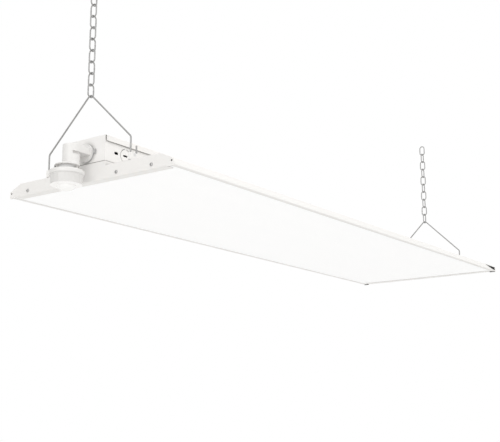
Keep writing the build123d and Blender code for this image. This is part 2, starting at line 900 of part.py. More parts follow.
neck_top = flange_height - neck_play
neck = upright(neck_radius, head_x, 0, cover_top, neck_top)
neck += upright(spigot_radius, head_x, 0, neck_top, neck_top + spigot_length)
put("sensor_neck", neck)

cover_section = outline(
    (0, cover_top),
    (cover_radius, cover_top),
    (cover_radius, cover_bottom),
    (head_top_radius - head_wall, cover_bottom),
    (head_top_radius - head_wall, cover_top - cover_wall),
    (0, cover_top - cover_wall),
)
cover_rim = cover_section.vertices().group_by(Axis.X)[-1]
put("sensor_cover", turned(head_x, fillet(cover_rim, cover_rounding)))

head = loft(
    [
        Pos(head_x, 0, head_bottom) * RegularPolygon(head_bottom_radius, head_sides),
        Pos(head_x, 0, cover_bottom) * RegularPolygon(head_top_radius, head_sides),
    ]
)
head_inside = head_bottom_radius - head_wall
head -= upright(head_inside, head_x, 0, sensor_board_bottom, cover_bottom)
head -= upright(head_inside - head_ledge, head_x, 0, head_bottom + head_floor, sensor_board_bottom)
head -= upright(dome_radius + dome_play, head_x, 0, head_bottom, head_bottom + head_floor)
put("sensor_body", head)

dome_inner = dome_radius - dome_wall
low_corner = (Align.MIN, Align.MIN)
dome_shell = Ellipse(dome_radius, dome_drop) - Ellipse(dome_inner, dome_drop - dome_wall)
dome_section = dome_shell & Rectangle(dome_radius, dome_drop, align=(Align.MIN, Align.MAX))
dome_collar = Rectangle(dome_wall, head_floor + dome_rim_height, align=low_corner)
dome_flange = Rectangle(dome_wall + dome_rim, dome_rim_height, align=low_corner)
dome_section += Pos(dome_inner, 0) * dome_collar + Pos(dome_inner, head_floor) * dome_flange
put("sensor_dome", turned(head_x, Pos(0, head_bottom) * dome_section))

board_top = sensor_board_bottom + sensor_board_thickness
put("sensor_board", upright(head_inside - sensor_board_play, head_x, 0, sensor_board_bottom, board_top))
detector_low = sensor_board_bottom - detector_height
put("sensor_detector", upright(detector_radius, head_x, 0, detector_low, sensor_board_bottom))
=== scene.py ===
# %% [markdown]
# # A chain-hung linear high bay light
# The solids come from the CAD model: a folded pan with a frosted lens, a driver channel on its back,
# V-hooks, chains and a motion sensor. This lesson loads them, sets the camera and a plain studio,
# gives every surface a finish made of nodes, and adds the small hardware that repeats.

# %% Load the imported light
import json
from math import pi

import bmesh
import bpy
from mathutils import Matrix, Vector


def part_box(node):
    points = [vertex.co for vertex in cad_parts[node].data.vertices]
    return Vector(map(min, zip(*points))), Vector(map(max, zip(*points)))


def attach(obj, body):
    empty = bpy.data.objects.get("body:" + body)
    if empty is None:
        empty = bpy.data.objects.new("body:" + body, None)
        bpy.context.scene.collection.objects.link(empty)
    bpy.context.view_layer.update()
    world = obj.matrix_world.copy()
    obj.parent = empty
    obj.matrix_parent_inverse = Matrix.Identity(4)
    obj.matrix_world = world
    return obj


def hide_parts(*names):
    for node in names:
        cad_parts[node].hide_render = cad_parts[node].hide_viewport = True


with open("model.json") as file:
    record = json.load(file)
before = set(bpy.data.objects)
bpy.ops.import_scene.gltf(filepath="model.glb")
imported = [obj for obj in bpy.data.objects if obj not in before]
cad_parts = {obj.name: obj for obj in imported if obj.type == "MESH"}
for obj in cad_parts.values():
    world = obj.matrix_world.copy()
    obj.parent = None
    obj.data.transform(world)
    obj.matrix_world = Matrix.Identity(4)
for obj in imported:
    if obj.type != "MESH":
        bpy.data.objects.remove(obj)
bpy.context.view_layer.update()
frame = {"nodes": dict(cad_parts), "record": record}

nodes = frame["nodes"]
mm = 0.001

# %% [markdown]
# ## Camera
# The picture was taken from below, off the sensor end, looking up along the light. A camera could be
# pointed by eye, but the straight edges of the pan give its place: their vanishing points fix the
# focal length and the two angles, and the pan's known length fixes the distance. Its height counts from
# the pan's underside, so the view holds when the chains change.

# %% Place the camera below the sensor end
film_width = 36.0
focal_length = 72.543
off_the_end, aside, below_pan = 1.67444, 1.11372, 0.39741
look = Vector((0.78762, 0.57792, 0.21369))
camera_data = bpy.data.cameras.new("photo_camera")
camera_data.sensor_fit = "HORIZONTAL"
camera_data.sensor_width = film_width
camera_data.lens = focal_length
camera_data.clip_end = 60.0
camera = bpy.data.objects.new("photo_camera", camera_data)
bpy.context.scene.collection.objects.link(camera)
pan_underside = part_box("housing_pan")[0][2]
camera.location = (-off_the_end, -aside, pan_underside - below_pan)
camera.rotation_euler = look.to_track_quat("-Z", "Y").to_euler()
bpy.context.scene.camera = camera
print("camera at", tuple(round(value, 3) for value in camera.location))

# %% [markdown]
# ## Studio
# The real light was shown on plain white. A white sheet behind it could be lit until it clips, but that
# light would also burn out the white paint. Here the world is white only to the camera, to reflections
# and through clear pieces. It lights the paint at a plain level, a little brighter from the camera's right
# and falling off to its left, because an even light would make every fold look the same.

# %% World with a level for the camera and a sweep for the paint
scene = bpy.context.scene
scene.view_settings.view_transform = "Standard"
camera_left = (-0.59, 0.81, 0.0)
# Each sweep: where it starts, its level there, and its level at the far left
whole_sweep = (-1.0, 1.13, 1.02)
left_sweep = (0.1, 1.0, 0.35)
world = bpy.data.worlds.new("studio_world")
scene.world = world
world.use_nodes = True
world_tree = world.node_tree
world_tree.nodes.clear()
seen = world_tree.nodes.new("ShaderNodeBackground")
seen.inputs["Color"].default_value = (1.0, 1.0, 1.0, 1.0)
seen.inputs["Strength"].default_value = 1.0
lighting = world_tree.nodes.new("ShaderNodeBackground")
lighting.inputs["Color"].default_value = (1.0, 0.995, 0.98, 1.0)
direction = world_tree.nodes.new("ShaderNodeTexCoord")
leftness = world_tree.nodes.new("ShaderNodeVectorMath")
leftness.operation = "DOT_PRODUCT"
leftness.inputs[1].default_value = camera_left
world_tree.links.new(direction.outputs["Generated"], leftness.inputs[0])
side_level = world_tree.nodes.new("ShaderNodeMath")
side_level.operation = "MULTIPLY"
for number, (start, near, far) in enumerate((whole_sweep, left_sweep)):
    sweep = world_tree.nodes.new("ShaderNodeMapRange")
    sweep.inputs["From Min"].default_value = start
    sweep.inputs["From Max"].default_value = 1.0
    sweep.inputs["To Min"].default_value = near
    sweep.inputs["To Max"].default_value = far
    world_tree.links.new(leftness.outputs["Value"], sweep.inputs["Value"])
    world_tree.links.new(sweep.outputs[0], side_level.inputs[number])
world_tree.links.new(side_level.outputs[0], lighting.inputs["Strength"])
print("world sweeps:", whole_sweep, left_sweep)

# %% White for the rays that show the world, the sweep for the rays that light the paint
path = world_tree.nodes.new("ShaderNodeLightPath")
camera_or_glossy = world_tree.nodes.new("ShaderNodeMath")
camera_or_glossy.operation = "MAXIMUM"
any_direct = world_tree.nodes.new("ShaderNodeMath")
any_direct.operation = "MAXIMUM"
choose = world_tree.nodes.new("ShaderNodeMixShader")
sky = world_tree.nodes.new("ShaderNodeOutputWorld")
world_tree.links.new(path.outputs["Is Camera Ray"], camera_or_glossy.inputs[0])
world_tree.links.new(path.outputs["Is Glossy Ray"], camera_or_glossy.inputs[1])
world_tree.links.new(camera_or_glossy.outputs[0], any_direct.inputs[0])
world_tree.links.new(path.outputs["Is Transmission Ray"], any_direct.inputs[1])
world_tree.links.new(any_direct.outputs[0], choose.inputs[0])
world_tree.links.new(lighting.outputs[0], choose.inputs[1])
world_tree.links.new(seen.outputs[0], choose.inputs[2])
world_tree.links.new(choose.outputs[0], sky.inputs["Surface"])
print("world nodes:", len(world_tree.nodes))

# %% [markdown]
# ## Floor
# A floor well below the light throws soft light back up at it. A curved backdrop would do the same, but
# the background is already white, so one large matt square is enough. It is staging and not a piece of
# the light.

# %% Floor below the light
floor_height = -1.6
floor_reach = 14.0
floor_corners = ((-1, -1), (1, -1), (1, 1), (-1, 1))
floor_mesh = bpy.data.meshes.new("studio_floor")
floor_mesh.from_pydata(
    [(x * floor_reach, y * floor_reach, floor_height) for x, y in floor_corners],
    [],
    [(0, 1, 2, 3)],
)
floor = bpy.data.objects.new("studio_floor", floor_mesh)
scene.collection.objects.link(floor)
floor_paint = bpy.data.materials.new("studio_floor_paint")
floor_paint.use_nodes = True
floor_shader = floor_paint.node_tree.nodes["Principled BSDF"]
floor_shader.inputs["Base Color"].default_value = (0.88, 0.88, 0.875, 1.0)
floor_shader.inputs["Roughness"].default_value = 0.9
floor_shader.inputs["Specular IOR Level"].default_value = 0.0
floor_mesh.materials.append(floor_paint)
print("floor at", floor_height)

# %% [markdown]
# ## Lamps
# Small bulbs would throw hard shadows, so the lamps are wide squares: one above for the pan's back, a weak
# one from the side for the channel's wall, and one off the sensor end for the cap and the sensor.

# %% Three soft lamps
for name, place, target, size, watts in (
    ("top_lamp", (0.0, -0.6, 3.0), (0.0, 0.0, -0.3), 5.0, 23.0),
    ("side_lamp", (-0.4, -2.6, 2.6), (-0.3, 0.0, -0.3), 2.0, 4.0),
    ("end_lamp", (-3.6, -1.0, 0.4), (-0.5, 0.0, -0.3), 1.8, 21.0),
):
    lamp_data = bpy.data.lights.new(name, "AREA")
    lamp_data.shape = "SQUARE"
    lamp_data.size = size
    lamp_data.energy = watts
    lamp = bpy.data.objects.new(name, lamp_data)
    lamp.location = place
    lamp.rotation_euler = (Vector(target) - Vector(place)).to_track_quat("-Z", "Y").to_euler()
    scene.collection.objects.link(lamp)

# %% [markdown]
# ## Effects that several finishes share
# Powder coat, moulded plastic and plated wire are never one even colour. Each effect is a node group
# with named sockets, so one change reaches every finish that uses it. The groups put out colours,
# roughness and heights only; the shaders themselves stay in the materials. A few helpers come first,
# because every group needs named sockets, a noise that sits on the piece, and a mix of two colours.


# %% Helpers for node groups
def new_group(name, inputs, outputs):
    """Shader group with the named sockets: inputs give a kind and a default, outputs a kind."""
    group = bpy.data.node_groups.new(name, "ShaderNodeTree")
    for label, (kind, default) in inputs.items():
        socket = group.interface.new_socket(label, in_out="INPUT", socket_type=kind)
        socket.default_value = default
    for label, kind in outputs.items():
        group.interface.new_socket(label, in_out="OUTPUT", socket_type=kind)
    return group, group.nodes.new("NodeGroupInput"), group.nodes.new("NodeGroupOutput")


def object_noise(group, scale_socket, detail, stretch=(1.0, 1.0, 1.0)):
    """Noise that sits on the piece itself, with its scale from a socket."""
    place = group.nodes.new("ShaderNodeTexCoord")
    mapping = group.nodes.new("ShaderNodeMapping")
    mapping.inputs["Scale"].default_value = stretch
    noise = group.nodes.new("ShaderNodeTexNoise")
    noise.inputs["Detail"].default_value = detail
    group.links.new(place.outputs["Object"], mapping.inputs["Vector"])
    group.links.new(mapping.outputs[0], noise.inputs["Vector"])
    group.links.new(scale_socket, noise.inputs["Scale"])
    return noise


# %% Helpers that spread a noise and mix two colours
noise_low, noise_high = 0.3, 0.7


def remap(group, value, low, high):
    """Spreads a noise, from where its values usually lie, between two sockets or numbers."""
    node = group.nodes.new("ShaderNodeMapRange")
    node.inputs["From Min"].default_value = noise_low
    node.inputs["From Max"].default_value = noise_high
    group.links.new(value, node.inputs["Value"])
    for socket, wanted in (("To Min", low), ("To Max", high)):
        if isinstance(wanted, (int, float)):
            node.inputs[socket].default_value = wanted
        else:
            group.links.new(wanted, node.inputs[socket])
    return node.outputs[0]


def mix_colour(group, factor, first, second):
    """Colour between two sockets, by a third one."""
    node = group.nodes.new("ShaderNodeMix")
    node.data_type = "RGBA"
    group.links.new(factor, node.inputs["Factor"])
    group.links.new(first, node.inputs["A"])
    group.links.new(second, node.inputs["B"])
    return node.outputs["Result"]


# %% [markdown]
# ### Powder coat
# The sheet-metal pieces are sprayed with dry powder and baked. The film is a little greyer and duller
# where it is thin, its skin is like orange peel, and dust gathers on what faces up. One noise drives tone
# and gloss together, a fine one makes the peel, and an Ambient Occlusion node finds the folds, which
# would otherwise have to be picked out by hand, and darkens them as painted shade.

# %% Powder coat: its sockets, and the clouds in its tone
COLOUR = "NodeSocketColor"
NUMBER = "NodeSocketFloat"
powder_coat, coat_in, coat_out = new_group(
    "powder_coat",
    {
        "Paint": (COLOUR, (0.9, 0.9, 0.89, 1.0)),
        "Thin Paint": (COLOUR, (0.87, 0.87, 0.855, 1.0)),
        "Dust": (COLOUR, (0.74, 0.73, 0.70, 1.0)),
        "Painted Fold Shade": (COLOUR, (0.30, 0.295, 0.28, 1.0)),
        "Dust Amount": (NUMBER, 0.12),
        "Painted Shade Reach": (NUMBER, 9.0 * mm),
        "Painted Shade Amount": (NUMBER, 0.6),
        "Cloud Scale": (NUMBER, 9.0),
        "Peel Scale": (NUMBER, 850.0),
        "Smooth": (NUMBER, 0.36),
        "Matt": (NUMBER, 0.46),
    },
    {"Colour": COLOUR, "Roughness": NUMBER, "Height": NUMBER},
)
clouds = object_noise(powder_coat, coat_in.outputs["Cloud Scale"], detail=4.0)
cloud_mask = remap(powder_coat, clouds.outputs[0], low=0.0, high=1.0)
tone = mix_colour(powder_coat, cloud_mask, coat_in.outputs["Paint"], coat_in.outputs["Thin Paint"])
print("powder coat nodes with clouds:", len(powder_coat.nodes))

# %% Powder coat: dust on what faces up
dust_stretch = (3.0, 3.0, 3.0)
least_dust = 0.2
facing = powder_coat.nodes.new("ShaderNodeNewGeometry")
upward = powder_coat.nodes.new("ShaderNodeSeparateXYZ")
powder_coat.links.new(facing.outputs["Normal"], upward.inputs[0])
dust_grain = object_noise(powder_coat, coat_in.outputs["Cloud Scale"], detail=9.0, stretch=dust_stretch)
settled = powder_coat.nodes.new("ShaderNodeMath")
settled.operation = "MULTIPLY"
settled.use_clamp = True
powder_coat.links.new(upward.outputs["Z"], settled.inputs[0])
patches = remap(powder_coat, dust_grain.outputs[0], low=least_dust, high=1.0)
powder_coat.links.new(patches, settled.inputs[1])
dust_mask = powder_coat.nodes.new("ShaderNodeMath")
dust_mask.operation = "MULTIPLY"
dust_mask.use_clamp = True
powder_coat.links.new(settled.outputs[0], dust_mask.inputs[0])
powder_coat.links.new(coat_in.outputs["Dust Amount"], dust_mask.inputs[1])
dusty = mix_colour(powder_coat, dust_mask.outputs[0], tone, coat_in.outputs["Dust"])
print("powder coat nodes with dust:", len(powder_coat.nodes))

# %% Powder coat: painted shade in the folds
open_face, deep_fold = 0.95, 0.45
fold_samples = 12
# Painted shade: where the Ambient Occlusion value is low, in folds and under the lid's skirt, the coat is
# mixed towards a dark grey
openness = powder_coat.nodes.new("ShaderNodeAmbientOcclusion")
openness.samples = fold_samples
powder_coat.links.new(coat_in.outputs["Painted Shade Reach"], openness.inputs["Distance"])
painted_shade_mask = powder_coat.nodes.new("ShaderNodeMapRange")
painted_shade_mask.inputs["From Min"].default_value = open_face
painted_shade_mask.inputs["From Max"].default_value = deep_fold
powder_coat.links.new(openness.outputs["AO"], painted_shade_mask.inputs["Value"])
powder_coat.links.new(coat_in.outputs["Painted Shade Amount"], painted_shade_mask.inputs["To Max"])
folded = mix_colour(powder_coat, painted_shade_mask.outputs[0], dusty, coat_in.outputs["Painted Fold Shade"])
powder_coat.links.new(folded, coat_out.inputs["Colour"])
print("powder coat nodes with folds:", len(powder_coat.nodes))

# %% Powder coat: gloss that follows the clouds, and orange peel
peel = object_noise(powder_coat, coat_in.outputs["Peel Scale"], detail=2.0)
powder_coat.links.new(
    remap(powder_coat, clouds.outputs[0], coat_in.outputs["Smooth"], coat_in.outputs["Matt"]),
    coat_out.inputs["Roughness"],
)
powder_coat.links.new(peel.outputs[0], coat_out.inputs["Height"])
print("powder coat nodes in all:", len(powder_coat.nodes))

# %% [markdown]
# ### Plated wire
# Hooks, chains and fasteners are steel with a thin coat of zinc, which dulls unevenly to a pale bloom. A
# plain grey metal would look like chrome, so one noise blends both tones and their gloss, and a fine one
# leaves draw marks.

# %% Plated wire: grey zinc with a paler bloom and fine draw marks
plated_wire, wire_in, wire_out = new_group(
    "plated_wire",
    {
        "Zinc": (COLOUR, (0.36, 0.36, 0.355, 1.0)),
        "Bloom": (COLOUR, (0.47, 0.47, 0.46, 1.0)),
        "Bloom Scale": (NUMBER, 180.0),
        "Draw Scale": (NUMBER, 1500.0),
        "Bright": (NUMBER, 0.28),
        "Dull": (NUMBER, 0.50),
    },
    {"Colour": COLOUR, "Roughness": NUMBER, "Height": NUMBER},
)
bloom_noise = object_noise(plated_wire, wire_in.outputs["Bloom Scale"], detail=5.0)
bloom_mask = remap(plated_wire, bloom_noise.outputs[0], low=0.0, high=1.0)
plated_wire.links.new(
    mix_colour(plated_wire, bloom_mask, wire_in.outputs["Zinc"], wire_in.outputs["Bloom"]),
    wire_out.inputs["Colour"],
)
plated_wire.links.new(
    remap(plated_wire, bloom_noise.outputs[0], wire_in.outputs["Bright"], wire_in.outputs["Dull"]),
    wire_out.inputs["Roughness"],
)
draw_marks = object_noise(plated_wire, wire_in.outputs["Draw Scale"], detail=2.0)
plated_wire.links.new(draw_marks.outputs[0], wire_out.inputs["Height"])
print("plated wire nodes:", len(plated_wire.nodes))

# %% [markdown]
# ### Moulded skin
# Plastic and rubber take the eroded grain of their mould, and their tone drifts where the melt flowed. A
# picture of the grain would have to be fitted to every curve, so two noises do it, as on the wire.

# %% Moulded skin: the grain of a mould with slow flow tones, for plastic and rubber
moulded_skin, skin_in, skin_out = new_group(
    "moulded_skin",
    {
        "Body": (COLOUR, (0.86, 0.86, 0.84, 1.0)),
        "Flow": (COLOUR, (0.83, 0.83, 0.80, 1.0)),
        "Flow Scale": (NUMBER, 45.0),
        "Grain Scale": (NUMBER, 2200.0),
        "Smooth": (NUMBER, 0.30),
        "Matt": (NUMBER, 0.42),
    },
    {"Colour": COLOUR, "Roughness": NUMBER, "Height": NUMBER},
)
flow_noise = object_noise(moulded_skin, skin_in.outputs["Flow Scale"], detail=3.0)
flow_mask = remap(moulded_skin, flow_noise.outputs[0], low=0.0, high=1.0)
moulded_skin.links.new(
    mix_colour(moulded_skin, flow_mask, skin_in.outputs["Body"], skin_in.outputs["Flow"]),
    skin_out.inputs["Colour"],
)
moulded_skin.links.new(
    remap(moulded_skin, flow_noise.outputs[0], skin_in.outputs["Smooth"], skin_in.outputs["Matt"]),
    skin_out.inputs["Roughness"],
)
grain = object_noise(moulded_skin, skin_in.outputs["Grain Scale"], detail=3.0)
moulded_skin.links.new(grain.outputs[0], skin_out.inputs["Height"])
print("shared effects:", [group.name for group in bpy.data.node_groups])

# %% [markdown]
# ## Finishes
# A finish is one material: a shared effect with its own values, a Bump node for its texture, and a
# Principled shader that keeps the numbers that don't change. A picture could be wrapped around each piece,
# but nodes need no unwrapping and hold up close to the surface.


# %% Helpers that wire an effect into a finish
def finish(name, effect, values, bump=0.2, bump_depth=0.05 * mm, **constants):
    """Material with an effect's values set, and the shader's own numbers by label."""
    material = bpy.data.materials.new(name)
    material.use_nodes = True
    links = material.node_tree.links
    shader = material.node_tree.nodes["Principled BSDF"]
    for label, value in constants.items():
        shader.inputs[label].default_value = value
    group = material.node_tree.nodes.new("ShaderNodeGroup")
    group.node_tree = effect
    for label, value in values.items():
        group.inputs[label].default_value = value
    relief = material.node_tree.nodes.new("ShaderNodeBump")
    relief.inputs["Strength"].default_value = bump
    relief.inputs["Distance"].default_value = bump_depth
    links.new(group.outputs["Colour"], shader.inputs["Base Color"])
    links.new(group.outputs["Roughness"], shader.inputs["Roughness"])
    links.new(group.outputs["Height"], relief.inputs["Height"])
    links.new(relief.outputs["Normal"], shader.inputs["Normal"])
    return material


def lamp_or_painted_glow(material, output, strength):
    """Lets one of the effect's colours glow, for a thin milky piece with light behind it, and as painted
    light on the sensor dome, which has none.
    """
    nodes_of = material.node_tree.nodes
    effect = next(node for node in nodes_of if node.type == "GROUP")
    shader = nodes_of["Principled BSDF"]
    material.node_tree.links.new(effect.outputs[output], shader.inputs["Emission Color"])
    shader.inputs["Emission Strength"].default_value = strength


def grey(level, warm=0.0):
    """Grey of a level, a little yellower when it is warm."""
    return (level, level - warm * 0.5, level - warm, 1.0)


# %% [markdown]
# ### Painted pieces
# Pan, caps, channel and clevises share one white, but each was folded and sprayed by itself. One material
# for all would look as if they were cast in one piece, so each gets its own size of clouds and amount of
# painted shade in the folds. Their levels differ as painted light and shade: the pan darker, the channel
# lighter.

# %% White powder coat on pan, caps, channel and clevises
paint_warm = 0.022
thin_warm, thin_drop = 0.028, 0.015
finishes = {}
# Levels differ as painted light and shade; the last number is the painted shade in the folds, strongest on
# the channel, under the lid's skirt
for slot, level, cloud_scale, painted_shade_amount in (
    ("pan_paint", 0.82, 9.0, 0.1),
    ("cap_paint", 0.85, 14.0, 0.25),
    ("channel_paint", 0.875, 11.0, 0.6),
    ("clevis_paint", 0.86, 60.0, 0.1),
):
    tones = {"Paint": grey(level, paint_warm), "Thin Paint": grey(level - thin_drop, thin_warm)}
    amounts = {"Cloud Scale": cloud_scale, "Painted Shade Amount": painted_shade_amount}
    finishes[slot] = finish(slot, powder_coat, tones | amounts)
print("painted:", sorted(finishes))

# %% [markdown]
# ### Steel pieces
# Wire, links, pins, screws and rivets differ only in how dark their zinc is, how fine its bloom is and how
# much they look like metal. A table of those numbers is easier to compare than one material after another.

# %% Zinc on wire and small steel pieces
zinc_warm, bloom_warm = 0.005, 0.009
for slot, zinc, bloom, bloom_scale, metal in (
    ("hook_zinc", 0.32, 0.41, 180.0, 0.9),
    ("chain_zinc", 0.33, 0.44, 180.0, 0.9),
    ("pin_zinc", 0.70, 0.80, 300.0, 0.4),
    ("bulkhead_zinc", 0.55, 0.66, 60.0, 1.0),
    ("cap_screw_steel", 0.40, 0.55, 500.0, 1.0),
    ("inner_screw_steel", 0.50, 0.62, 420.0, 1.0),
    ("rivet_steel", 0.62, 0.72, 380.0, 1.0),
    ("locknut_zinc", 0.50, 0.60, 200.0, 1.0),
):
    tones = {"Zinc": grey(zinc, zinc_warm), "Bloom": grey(bloom, bloom_warm), "Bloom Scale": bloom_scale}
    finishes[slot] = finish(slot, plated_wire, tones, Metallic=metal)
can_tones = {"Zinc": grey(0.70, 0.04), "Bloom": grey(0.78, 0.05), "Bright": 0.12, "Dull": 0.25}
finishes["detector_can"] = finish("detector_can", plated_wire, can_tones, Metallic=1.0)
print("finishes so far:", len(finishes))

# %% [markdown]
# ### Plastic, rubber and boards
# The sensor is moulded white plastic; its body gets a darker copy of the arm's white, which is painted
# shade.
# Seals, leads, boards and drivers follow from the same effect. The dome is thin and milky; its faint glow is
# painted light.

# %% Plastic, rubber and circuit boards
# Painted light: the dome is no lamp, but glows faintly so that it stays as bright as the lens
dome_painted_glow = 0.10
for slot, body, flow, flow_scale, smooth, matt in (
    ("sensor_white", grey(0.78, 0.018), grey(0.76, 0.022), 45.0, 0.30, 0.42),
    # Painted shade: a darker copy of the sensor's white, for its body
    ("sensor_head_shaded_white", grey(0.71, 0.018), grey(0.69, 0.022), 45.0, 0.30, 0.42),
    ("sensor_grey", grey(0.70), grey(0.73), 45.0, 0.40, 0.55),
    ("sensor_dome_white", grey(0.88, 0.01), grey(0.86, 0.015), 45.0, 0.22, 0.32),
    ("latch_plastic", grey(0.32), grey(0.36), 45.0, 0.40, 0.55),
    ("seal_rubber", grey(0.02), grey(0.035), 45.0, 0.75, 0.90),
    ("gasket_rubber", grey(0.42), grey(0.47), 45.0, 0.60, 0.78),
    ("terminal_plastic", grey(0.74, 0.05), grey(0.70, 0.06), 45.0, 0.30, 0.42),
    ("lead_insulation", grey(0.06), grey(0.085), 45.0, 0.25, 0.35),
    ("driver_case", grey(0.78, 0.01), grey(0.74, 0.015), 20.0, 0.30, 0.42),
    ("board_white", grey(0.86, 0.01), grey(0.83, 0.02), 15.0, 0.30, 0.42),
    ("led_phosphor", (0.88, 0.66, 0.16, 1.0), (0.82, 0.58, 0.12, 1.0), 45.0, 0.30, 0.42),
    ("sensor_board_green", (0.03, 0.16, 0.07, 1.0), (0.04, 0.20, 0.09, 1.0), 45.0, 0.30, 0.42),
):
    tones = {"Body": body, "Flow": flow, "Flow Scale": flow_scale, "Smooth": smooth, "Matt": matt}
    finishes[slot] = finish(slot, moulded_skin, tones)
lamp_or_painted_glow(finishes["sensor_dome_white"], "Colour", dome_painted_glow)
print("finishes so far:", len(finishes))

# %% [markdown]
# ### Face of the sensor
# The flat ring around the dome is given painted light, to be as bright as the dome. A second material on its
# faces would have to be handed out again whenever the mesh changes, so the body's own material glows at its
# lowest level.

# %% Faint painted glow on the ring around the dome
ring_painted_glow = 0.23
ring_depth = 0.3 * mm
painted_glow_tree = finishes["sensor_head_shaded_white"].node_tree
ring_place = painted_glow_tree.nodes.new("ShaderNodeTexCoord")
ring_parts = painted_glow_tree.nodes.new("ShaderNodeSeparateXYZ")
painted_ring_mask = painted_glow_tree.nodes.new("ShaderNodeMath")
painted_ring_mask.operation = "LESS_THAN"
painted_ring_mask.inputs[1].default_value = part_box("sensor_body")[0][2] + ring_depth
painted_glow_tree.links.new(ring_place.outputs["Object"], ring_parts.inputs[0])
painted_glow_tree.links.new(ring_parts.outputs["Z"], painted_ring_mask.inputs[0])
ring_shader = painted_glow_tree.nodes["Principled BSDF"]
painted_glow_tree.links.new(painted_ring_mask.outputs[0], ring_shader.inputs["Emission Color"])
# Painted light: the white plastic ring glows, though it is no lamp
ring_shader.inputs["Emission Strength"].default_value = ring_painted_glow
print("face ring below", round(painted_ring_mask.inputs[1].default_value, 4))

# %% [markdown]
# ## Frosted lens
# The lens is a white diffuser sheet, lit from behind by rows of LEDs. Real lamps behind it would need
# many samples to settle, so the sheet itself glows a little: a wave across the light follows the rows, and a
# fine noise stands for the frosting.

# %% Effect of the lens: its sockets, and the glow in rows
lens_glow, glow_in, glow_out = new_group(
    "lens_glow",
    {
        "Over Row": (COLOUR, (1.0, 1.0, 1.0, 1.0)),
        "Between": (COLOUR, (0.95, 0.955, 0.96, 1.0)),
        "Row Spacing": (NUMBER, 80.0 * mm),
        "Sheet": (COLOUR, (0.895, 0.897, 0.908, 1.0)),
        "Frost": (COLOUR, (0.865, 0.867, 0.878, 1.0)),
        "Frost Scale": (NUMBER, 1300.0),
    },
    {"Glow": COLOUR, "Colour": COLOUR, "Roughness": NUMBER, "Height": NUMBER},
)
across = lens_glow.nodes.new("ShaderNodeTexCoord")
across_parts = lens_glow.nodes.new("ShaderNodeSeparateXYZ")
lens_glow.links.new(across.outputs["Object"], across_parts.inputs[0])
turns = lens_glow.nodes.new("ShaderNodeMath")
turns.operation = "DIVIDE"
lens_glow.links.new(across_parts.outputs["Y"], turns.inputs[0])
lens_glow.links.new(glow_in.outputs["Row Spacing"], turns.inputs[1])
angle = lens_glow.nodes.new("ShaderNodeMath")
angle.operation = "MULTIPLY"
angle.inputs[1].default_value = 2.0 * pi
lens_glow.links.new(turns.outputs[0], angle.inputs[0])
wave = lens_glow.nodes.new("ShaderNodeMath")
wave.operation = "COSINE"
lens_glow.links.new(angle.outputs[0], wave.inputs[0])
row_mask = lens_glow.nodes.new("ShaderNodeMapRange")
row_mask.inputs["From Min"].default_value = -1.0
row_mask.inputs["From Max"].default_value = 1.0
lens_glow.links.new(wave.outputs[0], row_mask.inputs["Value"])
lens_glow.links.new(
    mix_colour(lens_glow, row_mask.outputs[0], glow_in.outputs["Over Row"], glow_in.outputs["Between"]),
    glow_out.inputs["Glow"],
)
print("lens effect nodes with rows:", len(lens_glow.nodes))

# %% Effect of the lens: the frosted sheet
frost_smooth, frost_matt = 0.48, 0.62
frost = object_noise(lens_glow, glow_in.outputs["Frost Scale"], detail=3.0)
frost_mask = remap(lens_glow, frost.outputs[0], low=0.0, high=1.0)
lens_glow.links.new(
    mix_colour(lens_glow, frost_mask, glow_in.outputs["Sheet"], glow_in.outputs["Frost"]),
    glow_out.inputs["Colour"],
)
lens_glow.links.new(
    remap(lens_glow, frost.outputs[0], frost_smooth, frost_matt), glow_out.inputs["Roughness"]
)
lens_glow.links.new(frost.outputs[0], glow_out.inputs["Height"])
print("lens effect nodes in all:", len(lens_glow.nodes))

# %% Lens finish
lens_strength = 0.15
lens_bump = 0.1
lens_finish = finish("lens_frosted", lens_glow, {}, bump=lens_bump)
lamp_or_painted_glow(lens_finish, "Glow", lens_strength)
finishes["lens_frosted"] = lens_finish
print("lens glow strength:", lens_strength)

# %% [markdown]
# ## Finishes on the pieces
# The record names a material slot for every solid, so one loop dresses them all, and a new solid needs no
# new line. Only the sensor's body departs from its slot, for its darker white, which is painted shade.

# %% Hand the finishes to the CAD nodes
slot_of = {part["node"]: part["material_slot"] for part in frame["record"]["subparts"]}
for name, piece in nodes.items():
    for holder in piece.material_slots:
        holder.material = finishes[slot_of[name]]
# The sensor's body takes the darker copy of its white: painted shade
nodes["sensor_body"].material_slots[0].material = finishes["sensor_head_shaded_white"]
print("finishes:", len(finishes))

# %% [markdown]
# ## Lips under the lens
# The lips that carry the lens are narrower on the real light than in the solid. The pan could be drawn
# again, but its folds and holes are right, so a merged copy of it stands in, with only the inner edges
# of its lips drawn back.

# %% Pan with its lips drawn back
lip_level = pan_underside + 2.0 * mm
lip_edge_limit = 170.0 * mm
lip_drawn_back = 3.9 * mm
slim_pan = bmesh.new()
slim_pan.from_mesh(nodes["housing_pan"].data)
bmesh.ops.remove_doubles(slim_pan, verts=slim_pan.verts, dist=0.001 * mm)
lip_edge = [v for v in slim_pan.verts if v.co.z < lip_level and abs(v.co.y) < lip_edge_limit]
for vertex in lip_edge:
    vertex.co.y += lip_drawn_back if vertex.co.y > 0 else -lip_drawn_back
slim_mesh = bpy.data.meshes.new("slim_pan")
slim_pan.to_mesh(slim_mesh)
slim_pan.free()
# The CAD mesh brings its own normals, which no longer fit once the edge has moved
if "custom_normal" in slim_mesh.attributes:
    slim_mesh.attributes.remove(slim_mesh.attributes["custom_normal"])
slim_mesh.shade_flat()
slim_mesh.materials.append(finishes["pan_paint"])
slim_piece = bpy.data.objects.new("slim_pan", slim_mesh)
scene.collection.objects.link(slim_piece)
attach(slim_piece, "fixture")
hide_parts("housing_pan")
print("lip edge points moved:", len(lip_edge))

